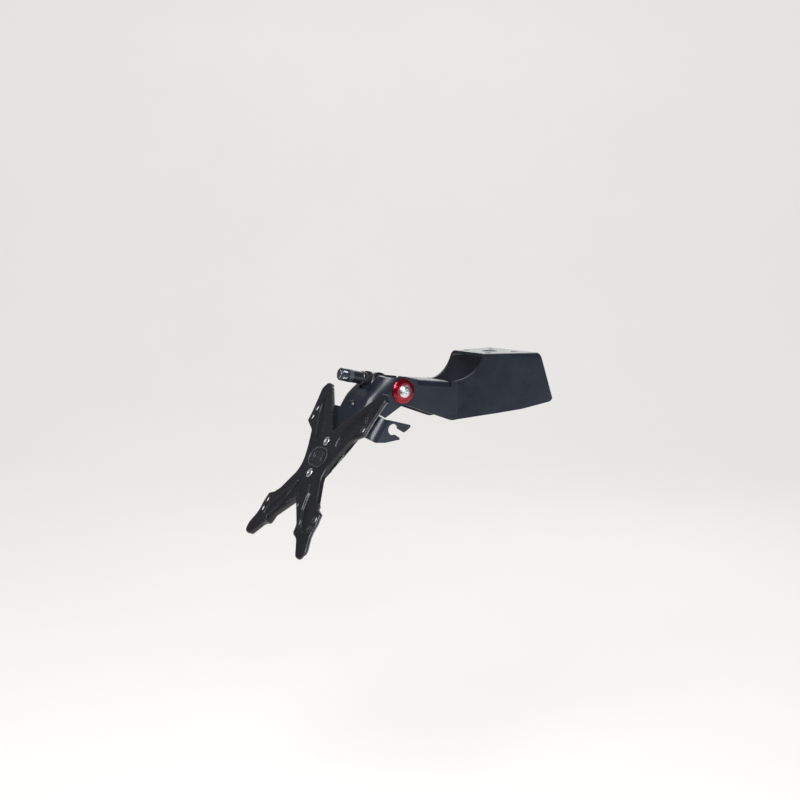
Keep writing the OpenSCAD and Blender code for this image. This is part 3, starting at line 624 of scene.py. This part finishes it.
class CarrierRelief:
    """The carrier's outline, holes and relief, read from its CAD solid."""

    def __init__(self, frame):
        bm = cad_in(frame, "plate_carrier", PLATE)
        face = level_loops(bm, 0.0, 1)
        self.outline = rounded_tips(resampled(max(face, key=size_of), OUTLINE_STEP))
        back = level_loops(bm, -CARRIER_T, -1) + level_loops(bm, -LUG_T, -1)
        self.holes = [resampled(c, HOLE_STEP) for c in back if size_of(c) < HOLE_LIMIT]
        self.ridges = level_loops(bm, RIB_H, 1)
        self.pockets = [c for c in level_loops(bm, -POCKET_DEPTH, 1) if size_of(c) > AREA_LIMIT]
        rim = [c for c in level_loops(bm, DISC_RIM_H, 1) if size_of(c) > RIM_LIMIT]
        self.rim_out = max(rim, key=size_of)
        self.rim_in = min(rim, key=size_of)
        self.lugs = [c for c in level_loops(bm, -LUG_T, -1) if size_of(c) > AREA_LIMIT]
        bm.free()

    def points(self):
        """Places for the surface's vertices: outlines first, then rings and a grid."""
        fixed = [self.outline] + self.holes
        loose = rings_beside(self.outline, OUTLINE_RINGS)
        for hole in self.holes:
            loose += rings_beside(hole, HOLE_RINGS)
        for loop in self.ridges + self.pockets + [self.rim_out, self.rim_in]:
            loop = resampled(loop, FEATURE_STEP)
            loose += [loop] + rings_beside(loop, FEATURE_RINGS)
        low, high = self.outline.min(axis=0), self.outline.max(axis=0)
        u, v = np.meshgrid(np.arange(low[0], high[0], GRID), np.arange(low[1], high[1], GRID))
        v = v + GRID_SHEAR * u
        loose.append(np.stack([u.ravel(), v.ravel()], axis=1))
        loose = np.concatenate(loose)
        loose = loose[signed_distance(loose, self.outline)[0] > OUTLINE_CLEAR]
        for hole in self.holes:
            loose = loose[signed_distance(loose, hole)[0] < -HOLE_CLEAR]
        return fixed, thinned(loose, POINT_GAP)

    def pocket_depths(self, p, loop):
        """How deep a pocket lies: in the upper arms its upper end runs out in a long slope."""
        d, near = signed_distance(p, loop)
        tilt = near[:, 1] - np.abs(near[:, 0])
        slope = LONG_FLANK * smooth((tilt - LONG_FLANK_START) / LONG_FLANK_RUN) * (p[:, 1] > 0)
        return POCKET_DEPTH * smooth(d / (FLANK + slope) + 0.5)

    def front(self, p):
        """Heights of the front face."""
        z = np.zeros(len(p))
        for loop in self.ridges:
            z += RIB_H * smooth(signed_distance(p, loop)[0] / FLANK + 0.5)
        for loop in self.pockets:
            z -= self.pocket_depths(p, loop)
        d_out = signed_distance(p, self.rim_out)[0]
        d_in = signed_distance(p, self.rim_in)[0]
        seat = (DISC_RIM_H + BADGE_SEAT_DEPTH) * smooth(d_in / RIM_INNER_FLANK + 0.5)
        z += DISC_RIM_H * smooth(d_out / RIM_FLANK) - seat
        for hole in self.holes:
            centre = hole.mean(axis=0)
            if centre[1] < BUMPS_BELOW:
                r = np.linalg.norm(p - centre, axis=1)
                z += BUMP_BOSS_H * smooth((BUMP_BOSS_R - r) / BUMP_FLANK + 0.5)
            z -= rounded_drop(-signed_distance(p, hole)[0], HOLE_ROUND_R)
        z -= rounded_drop(signed_distance(p, self.outline)[0], ROUND_R)
        z += [UNEVEN_H * noise.noise((a * UNEVEN_SCALE, b * UNEVEN_SCALE, UNEVEN_LAYER)) for a, b in p]
        return z

    def back(self, p):
        """Heights of the back face."""
        z = np.full(len(p), -CARRIER_T)
        for loop in self.lugs:
            z += (CARRIER_T - LUG_T) * smooth(signed_distance(p, loop)[0] / LUG_FLANK + 0.5)
        return z + BACK_ROUND_SHARE * rounded_drop(signed_distance(p, self.outline)[0], BACK_ROUND_R)


def meshed_outline(relief):
    """Triangles between the outline and its holes: places on the plane, and faces."""
    fixed, loose = relief.points()
    coords = np.concatenate(fixed + [loose])
    edges = []
    start = 0
    for loop in fixed:
        n = len(loop)
        edges += [(start + i, start + (i + 1) % n) for i in range(n)]
        start += n
    verts, _, faces, _, _, _ = delaunay_2d_cdt([Vector(c) for c in coords], edges, [],
                                               TRIANGLES_INSIDE, TRIANGLE_WELD)
    flat = np.array([(v.x, v.y) for v in verts])
    centre = np.array([flat[list(f)].mean(axis=0) for f in faces])
    keep = signed_distance(centre, relief.outline)[0] > 0
    for hole in relief.holes:
        keep &= signed_distance(centre, hole)[0] < 0
    return flat, [f for f, k in zip(faces, keep) if k]


def plate_carrier(frame, mats):
    """The cast carrier: a finely meshed surface with its relief, rounded edges and holes."""
    relief = CarrierRelief(frame)
    flat, faces = meshed_outline(relief)
    front, back = relief.front(flat), relief.back(flat)
    bm = bmesh.new()
    top = [bm.verts.new(PLATE @ Vector((x, y, z))) for (x, y), z in zip(flat, front)]
    low = [bm.verts.new(PLATE @ Vector((x, y, z))) for (x, y), z in zip(flat, back)]
    for f in faces:
        bm.faces.new([top[i] for i in f])
        bm.faces.new([low[i] for i in reversed(f)])
    bm.verts.index_update()
    rims = [e for e in bm.edges if e.is_boundary and e.verts[0].index < len(top)]
    for e in rims:
        a, b = e.verts[0].index, e.verts[1].index
        bm.faces.new([top[b], top[a], low[a], low[b]])
    bmesh.ops.delete(bm, geom=[v for v in bm.verts if not v.link_faces], context="VERTS")
    obj = new_piece("plate_carrier_look", bm, mats, "cast_black", "hanger", "plate_carrier")
    obj.data.set_sharp_from_angle(angle=math.radians(CAST_SHARP_ANGLE))
    return obj


# The hanger: how its bends, windows and wing ends differ from the solid's
TOP_BEND_R = 14.5
WING_OPEN_R = 13.0
WINDOW_SHIFT = 3.5
WING_CORNER_R = 2.4
WING_CORNER_ANGLE = 22.0
WING_CORNER_SEGMENTS = 5
FINGER_START = 13.0
FINGER_RUN = 9.0
LOWER_FINGER = (1.0, -1.4)
UPPER_FINGER = (1.2, 0.6)
CREASE_RUN = 3.8
CREASE_R = 34.0
HANGER_EDGE = 0.45
HANGER_EDGE_ANGLE = 40.0

# The hanger: limits for telling its faces apart, and its slices as start, step and count
WING_FLAT = 9.0
CHORD_GAP = 0.25
DEPTH_SPARE = 0.6
CREASE_SPARE = 1.0
KEY_SPARE = 0.3
BOX_SPARE = 0.1
ON_PLACE = 0.05
SAME = 0.01
WING_SLICES = (WING_OUT - 0.3, -1.1, 14)
WING_DEPTH_SLICES = (-0.3, -1.1, 14)
UPPER_SLICES = (EAR_OUT - 0.4, -1.3, 14)
UPPER_DEPTH_SLICES = (-0.6, -1.3, 12)
UPPER_RISE_SLICES = (4.0, 2.4, 11)
CREASE_SLICES = 3


def opened_bend(co, half, own, radius):
    """Moves a place on a folded section from its own bend to one of a larger radius."""
    a, b = half - abs(co.x), -co.z
    if radius <= own + SAME or a > radius or b > radius:
        return co
    if a < own and b < own:
        r = math.hypot(own - a, own - b)
        depth = own - r
        run = (radius - own) + math.atan2(own - a, own - b) * own
    elif a >= own:
        depth = b
        run = radius - a
    else:
        depth = a
        run = 2 * (radius - own) + own * math.pi / 2 - (radius - b)
    if depth > HANGER_T + DEPTH_SPARE:
        return co
    for face in (0.0, HANGER_T):
        if abs(depth - face) < CHORD_GAP:
            depth = face
    angle = math.pi / 2 * run / (2 * (radius - own) + own * math.pi / 2)
    r = radius - depth
    x = half - radius + r * math.sin(angle)
    z = -radius + r * math.cos(angle)
    return Vector((math.copysign(x, co.x), co.y, z))


def round_wing_corners(bm):
    """Rounds the corners of the wings' free ends, seen from the side."""
    corners = []
    for e in bm.edges:
        xs = [abs(v.co.x) for v in e.verts]
        along_x = (e.verts[0].co - e.verts[1].co).yz.length < SAME
        on_wing = min(xs) > WING_OUT - HANGER_T - ON_PLACE and max(v.co.z for v in e.verts) < -WING_FLAT
        if along_x and on_wing and len(e.link_faces) == 2:
            if e.is_convex and e.calc_face_angle() > math.radians(WING_CORNER_ANGLE):
                corners.append(e)
    bmesh.ops.bevel(bm, geom=corners, offset=WING_CORNER_R, offset_type="OFFSET",
                    segments=WING_CORNER_SEGMENTS, profile=0.5, affect="EDGES", clamp_overlap=True)


def fuller_wing_ends(bm):
    """Fills out the two fingers beside each keyhole."""
    for v in bm.verts:
        ahead, rise = -v.co.z, v.co.y - KEY_MID
        if abs(v.co.x) < WING_OUT - HANGER_T - ON_PLACE or ahead < FINGER_START:
            continue
        if math.hypot(ahead - KEY_AHEAD, rise) < KEY_R + KEY_SPARE or abs(rise) < KEY_SLOT / 2 + BOX_SPARE:
            continue
        grow = float(smooth((ahead - FINGER_START) / FINGER_RUN))
        shift = LOWER_FINGER if rise < 0 else UPPER_FINGER
        v.co.z -= grow * shift[0]
        v.co.y += grow * shift[1]


def narrower_windows(bm):
    """Moves the outer edge of the windows behind the lugs further in."""
    for v in bm.verts:
        at_edge = abs(abs(v.co.x) - WINDOW_EDGE) < ON_PLACE and v.co.z > -HANGER_T - BOX_SPARE
        if at_edge and WINDOW_LOW - BOX_SPARE < v.co.y < WINDOW_HIGH + BOX_SPARE:
            v.co.x -= math.copysign(WINDOW_SHIFT, v.co.x)


def open_wing_bends(bm):
    """Gives the bends between the sheet and the wings their larger radius."""
    sliced(bm, (1, 0, 0), both_sides(even_steps(*WING_SLICES)))
    sliced(bm, (0, 0, 1), even_steps(*WING_DEPTH_SLICES))
    for v in bm.verts:
        if abs(v.co.x) > WING_OUT - WING_OPEN_R - SAME:
            v.co = opened_bend(v.co, WING_OUT, WING_BEND_R, WING_OPEN_R)


def open_upper_bends(bm):
    """Opens the ears' bends out upward, and softens the cross bend below them."""
    sliced(bm, (1, 0, 0), both_sides(even_steps(*UPPER_SLICES)))
    sliced(bm, (0, 0, 1), even_steps(*UPPER_DEPTH_SLICES))
    crease = [CREASE_RUN * i / CREASE_SLICES for i in range(-CREASE_SLICES, CREASE_SLICES + 1)]
    sliced(bm, (0, 1, 0), crease + even_steps(*UPPER_RISE_SLICES))
    for v in bm.verts:
        if v.co.y > 0.0 and abs(v.co.x) < EAR_OUT + SAME:
            grow = smooth(v.co.y / UPPER_L)
            radius = HANGER_BEND_R + (TOP_BEND_R - HANGER_BEND_R) * float(grow)
            v.co = opened_bend(v.co, EAR_OUT, HANGER_BEND_R, radius)
        if abs(v.co.y) < CREASE_RUN and v.co.z > -HANGER_T - CREASE_SPARE:
            v.co.z -= (CREASE_RUN - abs(v.co.y)) ** 2 / (2 * CREASE_R)


def hanger(frame, mats):
    """The hanger's folded sheet, with softer bends, fuller wing ends and narrower windows."""
    rear = PLATE @ Matrix.Translation((0.0, 0.0, -CARRIER_T))
    bm = cad_in(frame, "hanger", rear)
    join_flats(bm)
    round_wing_corners(bm)
    fuller_wing_ends(bm)
    narrower_windows(bm)
    open_wing_bends(bm)
    bmesh.ops.transform(bm, matrix=UPPER.inverted() @ rear, verts=bm.verts)
    open_upper_bends(bm)
    bmesh.ops.transform(bm, matrix=UPPER, verts=bm.verts)
    obj = new_piece("hanger_look", bm, mats, "sheet_black", "hanger", "hanger", smooth_shaded=False)
    round_edges(obj, HANGER_EDGE, HANGER_EDGE_ANGLE)
    return obj


# The carrier's screws
HEAD_FOOT = 0.3
HEAD_FLATTEN = 0.45
SCREW_EDGE = 0.15


def low_headed_screw(frame, mats, node):
    """A carrier screw whose head lies low on the casting."""
    bm = cad_in(frame, node, PLATE)
    join_flats(bm)
    for v in bm.verts:
        if v.co.z > HEAD_FOOT:
            v.co.z = HEAD_FOOT + (v.co.z - HEAD_FOOT) * HEAD_FLATTEN
    bmesh.ops.transform(bm, matrix=PLATE, verts=bm.verts)
    obj = new_piece(node + "_look", bm, mats, "stainless", "hanger", node, smooth_shaded=False)
    round_edges(obj, SCREW_EDGE)
    return obj


# The badge: the margin and its fade are shares of the oval's half size
DISC_STEP = 0.55
BADGE_RIBS = 3.1
BADGE_RIB_H = 0.7
BADGE_RIB_FLANK = 1.5
BADGE_SLANT = 18.0
BADGE_MARGIN = 0.1
BADGE_FADE = 0.09


def badge(frame, mats):
    """The oval badge, with plain slanting ribs inside a smooth margin."""
    bm = cad_in(frame, "centre_disc", PLATE)
    low = Vector([min(v.co[i] for v in bm.verts) for i in range(3)])
    high = Vector([max(v.co[i] for v in bm.verts) for i in range(3)])
    half = (high - low) / 2
    mid = (high + low) / 2
    for axis in (0, 1):
        normal = [0, 0, 0]
        normal[axis] = 1
        count = int(2 * half[axis] / DISC_STEP)
        sliced(bm, normal, [low[axis] + DISC_STEP * (i + 0.5) for i in range(count)])
    bmesh.ops.triangulate(bm, faces=bm.faces)
    a = math.radians(BADGE_SLANT)
    for v in bm.verts:
        if v.co.z < high.z - ON_PLACE:
            continue
        x, y = v.co.x - mid.x, v.co.y - mid.y
        inside = 1.0 - math.hypot(x / half.x, y / half.y)
        mask = float(smooth((inside - BADGE_MARGIN) / BADGE_FADE))
        wave = math.sin(2 * math.pi * (x * math.cos(a) + y * math.sin(a)) / BADGE_RIBS)
        v.co.z -= BADGE_RIB_H * mask * float(smooth(0.5 + BADGE_RIB_FLANK * wave))
    bmesh.ops.transform(bm, matrix=PLATE, verts=bm.verts)
    obj = new_piece("centre_disc_look", bm, mats, "cast_black", "hanger", "centre_disc")
    obj.data.set_sharp_from_angle(angle=math.radians(CAST_SHARP_ANGLE))
    return obj


# The lamp's nose
CAP_T = 0.3
CAP_RINGS = 5
CAP_RING_STEPS = 4
CAP_GROOVE = 0.45
CAP_RIM = 0.02
CAP_SUNK = 0.05
CAP_INSET = 0.1
CAP_SIDES = 64


def cap_height(step):
    """The cap's height at a step inward: a thin rim, then its face with a groove in each ring."""
    if step == 0:
        return CAP_RIM
    in_groove = step % CAP_RING_STEPS == CAP_RING_STEPS // 2
    return CAP_T * (1.0 - CAP_GROOVE * in_groove)


def nose_cap(frame, mats):
    """The dark cap on the lamp's free end, turned with fine rings."""
    lens = cad_in(frame, "lamp_lens", LAMP)
    end = max(v.co.z for v in lens.verts)
    face = [v.co.copy() for v in lens.verts if v.co.z > end - ON_PLACE]
    lens.free()
    centre = sum(face, Vector()) / len(face)
    radius = max((c - centre).length for c in face) - CAP_INSET
    steps = CAP_RINGS * CAP_RING_STEPS + 1
    turns = [math.tau * k / CAP_SIDES for k in range(CAP_SIDES)]
    bm = bmesh.new()
    rings = []
    for i in range(steps):
        r = radius * (1.0 - i / steps)
        rings.append([bm.verts.new((r * math.cos(a), r * math.sin(a), cap_height(i))) for a in turns])
    for low, high in zip(rings, rings[1:]):
        for k in range(CAP_SIDES):
            bm.faces.new([low[k - 1], low[k], high[k], high[k - 1]])
    bm.faces.new(rings[-1])
    bottom = [bm.verts.new((v.co.x, v.co.y, -CAP_SUNK)) for v in rings[0]]
    for k in range(CAP_SIDES):
        bm.faces.new([bottom[k - 1], bottom[k], rings[0][k], rings[0][k - 1]])
    bm.faces.new(list(reversed(bottom)))
    bmesh.ops.transform(bm, matrix=LAMP @ Matrix.Translation((centre.x, centre.y, end)), verts=bm.verts)
    obj = new_piece("lamp_nose_cap", bm, mats, "lamp_black", "hanger", None)
    obj.data.set_sharp_from_angle(angle=math.radians(SHARP_ANGLE))
    return obj


# The stage: floor, world, lights and camera
FLOOR_DROP = 0.32
FLOOR_NEAR = 1.6
FLOOR_FAR = 3.0
FLOOR_BEND = 1.4
FLOOR_BEND_STEPS = 16
WALL_HEIGHT = 4.0
FLOOR_HALF = 1.9
FLOOR_DARK = (0.40, 0.385, 0.37)
FLOOR_LIGHT = (0.42, 0.405, 0.39)
FLOOR_GLOW = (1.0, 0.978, 0.95)
ROOM_COLOUR = (0.84, 0.92, 1.0, 1.0)
ROOM_STRENGTH = 0.15
BACKDROP_COLOUR = (0.845, 0.835, 0.815, 1.0)
CAMERA_LENS = 50.0
CAMERA_SENSOR = 36.0
CAMERA_CLIP = 0.02
KEY_AWAY = Vector((0.455, -0.53, 0.71)) * 1.5
CAMERA_AWAY = Vector((0.960576, -0.550813, 0.122868))
CAMERA_DIP = 6.93
CAMERA_TURN = 59.61


def pale_floor():
    """The material of the floor and its wall: pale, dull and lit a little by itself."""
    s = Shader("pale_floor")
    s.set(Base_Color=s.cloudy(FLOOR_DARK, FLOOR_LIGHT, scale=3.0, detail=3.0, start=0.3, end=0.7))
    s.set(Roughness=0.8, Specular_IOR_Level=0.1, Emission_Color=FLOOR_GLOW, Emission_Strength=0.63)
    return s.mat


def floor_profile():
    """The floor's section, away from the camera: flat, a quarter turn, then up."""
    bend_start = FLOOR_FAR - FLOOR_BEND
    profile = [(-FLOOR_NEAR, 0.0), (bend_start, 0.0)]
    for i in range(1, FLOOR_BEND_STEPS + 1):
        a = math.radians(90.0 * i / FLOOR_BEND_STEPS)
        profile.append((bend_start + FLOOR_BEND * math.sin(a), FLOOR_BEND - FLOOR_BEND * math.cos(a)))
    profile.append((FLOOR_FAR, WALL_HEIGHT))
    return profile


def add_stage():
    """A pale floor that curves up into a wall behind the part, seen from the camera."""
    floor_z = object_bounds()[0][2] - FLOOR_DROP
    material = pale_floor()
    bm = bmesh.new()
    rows = [[bm.verts.new((side, y, z)) for side in (-FLOOR_HALF, FLOOR_HALF)]
            for y, z in floor_profile()]
    for (a, b), (c, d) in zip(rows, rows[1:]):
        bm.faces.new((a, b, d, c))
    mesh = bpy.data.meshes.new("floor")
    bm.to_mesh(mesh)
    bm.free()
    mesh.shade_smooth()
    floor = bpy.data.objects.new("floor", mesh)
    floor.location = (0.0, 0.0, floor_z)
    floor.rotation_euler = (0.0, 0.0, math.radians(CAMERA_TURN))
    mesh.materials.append(material)
    bpy.context.scene.collection.objects.link(floor)


def add_light(name, away, size, power, colour):
    """A square lamp that looks at the pivot from a place away from it."""
    target = PIVOT * MM
    place = target + away
    data = bpy.data.lights.new(name, "AREA")
    data.shape = "RECTANGLE"
    data.size = size
    data.size_y = size
    data.energy = power
    data.color = colour
    obj = bpy.data.objects.new(name, data)
    obj.location = place
    obj.rotation_euler = (target - place).to_track_quat("-Z", "Y").to_euler()
    obj.visible_camera = False
    bpy.context.scene.collection.objects.link(obj)


def add_lights():
    add_light("key", KEY_AWAY, size=0.85, power=27.0, colour=(0.93, 0.97, 1.0))
    add_light("rim", Vector((1.01, -0.55, 0.46)), size=0.3, power=8.0, colour=(0.88, 0.95, 1.0))
    add_light("fill", Vector((-0.95, 1.05, 0.75)), size=1.2, power=5.0, colour=(0.93, 0.97, 1.0))
    add_light("side", Vector((0.793, 0.363, -0.176)), size=0.26, power=0.36, colour=(0.68, 0.80, 1.0))


def add_world():
    """A dim cool room for light and reflections, with a pale backdrop behind the floor's edge."""
    world = bpy.data.worlds.new("studio")
    world.use_nodes = True
    tree = world.node_tree
    room = tree.nodes["Background"]
    room.inputs["Color"].default_value = ROOM_COLOUR
    room.inputs["Strength"].default_value = ROOM_STRENGTH
    backdrop = tree.nodes.new("ShaderNodeBackground")
    backdrop.inputs["Color"].default_value = BACKDROP_COLOUR
    seen = tree.nodes.new("ShaderNodeLightPath")
    both = tree.nodes.new("ShaderNodeMixShader")
    tree.links.new(seen.outputs["Is Camera Ray"], both.inputs[0])
    tree.links.new(room.outputs[0], both.inputs[1])
    tree.links.new(backdrop.outputs[0], both.inputs[2])
    tree.links.new(both.outputs[0], tree.nodes["World Output"].inputs["Surface"])
    bpy.context.scene.world = world


def add_camera():
    """The photograph's camera: 50 mm lens, seen from the right rear, slightly from above."""
    data = bpy.data.cameras.new("camera")
    data.lens = CAMERA_LENS
    data.sensor_width = CAMERA_SENSOR
    data.sensor_fit = "HORIZONTAL"
    data.clip_start = CAMERA_CLIP
    cam = bpy.data.objects.new("camera", data)
    cam.location = PIVOT * MM + CAMERA_AWAY
    cam.rotation_euler = (math.radians(90.0 - CAMERA_DIP), 0.0, math.radians(CAMERA_TURN))
    bpy.context.scene.collection.objects.link(cam)
    bpy.context.scene.camera = cam


# Each node that keeps its CAD shape: its slot, its body and how wide its edges are rounded
SOFT_NODES = {
    "main_bracket": ("sheet_black", "bracket", 0.3),
    "lamp_bracket": ("sheet_black", "hanger", 0.35),
    "pivot_bolt_right": ("stainless", "bracket", 0.25),
    "pivot_bolt_left": ("stainless", "bracket", 0.25),
    "cup_washer_right": ("washer_red", "bracket", 0.2),
    "cup_washer_left": ("washer_red", "bracket", 0.2),
    "friction_washer_right": ("nylon_black", "bracket", 0.15),
    "friction_washer_left": ("nylon_black", "bracket", 0.15),
    "nut_washer_right": ("zinc", "bracket", 0.15),
    "nut_washer_left": ("zinc", "bracket", 0.15),
    "pivot_nut_right": ("zinc", "bracket", 0.2),
    "pivot_nut_left": ("zinc", "bracket", 0.2),
    "carrier_nut_upper": ("zinc", "hanger", 0.15),
    "carrier_nut_lower": ("zinc", "hanger", 0.15),
    "bracket_screw": ("screw_black", "hanger", 0.2),
    "bracket_nut": ("zinc", "hanger", 0.15),
    "lamp_body": ("lamp_black", "hanger", 0.2),
    "lamp_lens": ("lens_clear", "hanger", 0.1),
    "lamp_reflector": ("reflector", "hanger", 0.1),
    "lamp_collar": ("lamp_collar", "hanger", 0.15),
    "lamp_gasket": ("rubber_black", "hanger", 0.3),
    "lamp_nut": ("zinc", "hanger", 0.15),
}


def main():
    bpy.context.scene.view_settings.view_transform = "Standard"
    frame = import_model()
    mats = make_materials()
    for node, (slot, body, width) in SOFT_NODES.items():
        softened(frame, node, mats, slot, body, width)
    plate_carrier(frame, mats)
    hanger(frame, mats)
    badge(frame, mats)
    low_headed_screw(frame, mats, "carrier_screw_upper")
    low_headed_screw(frame, mats, "carrier_screw_lower")
    nose_cap(frame, mats)
    add_camera()
    add_stage()
    add_world()
    add_lights()
    bpy.context.view_layer.update()


main()
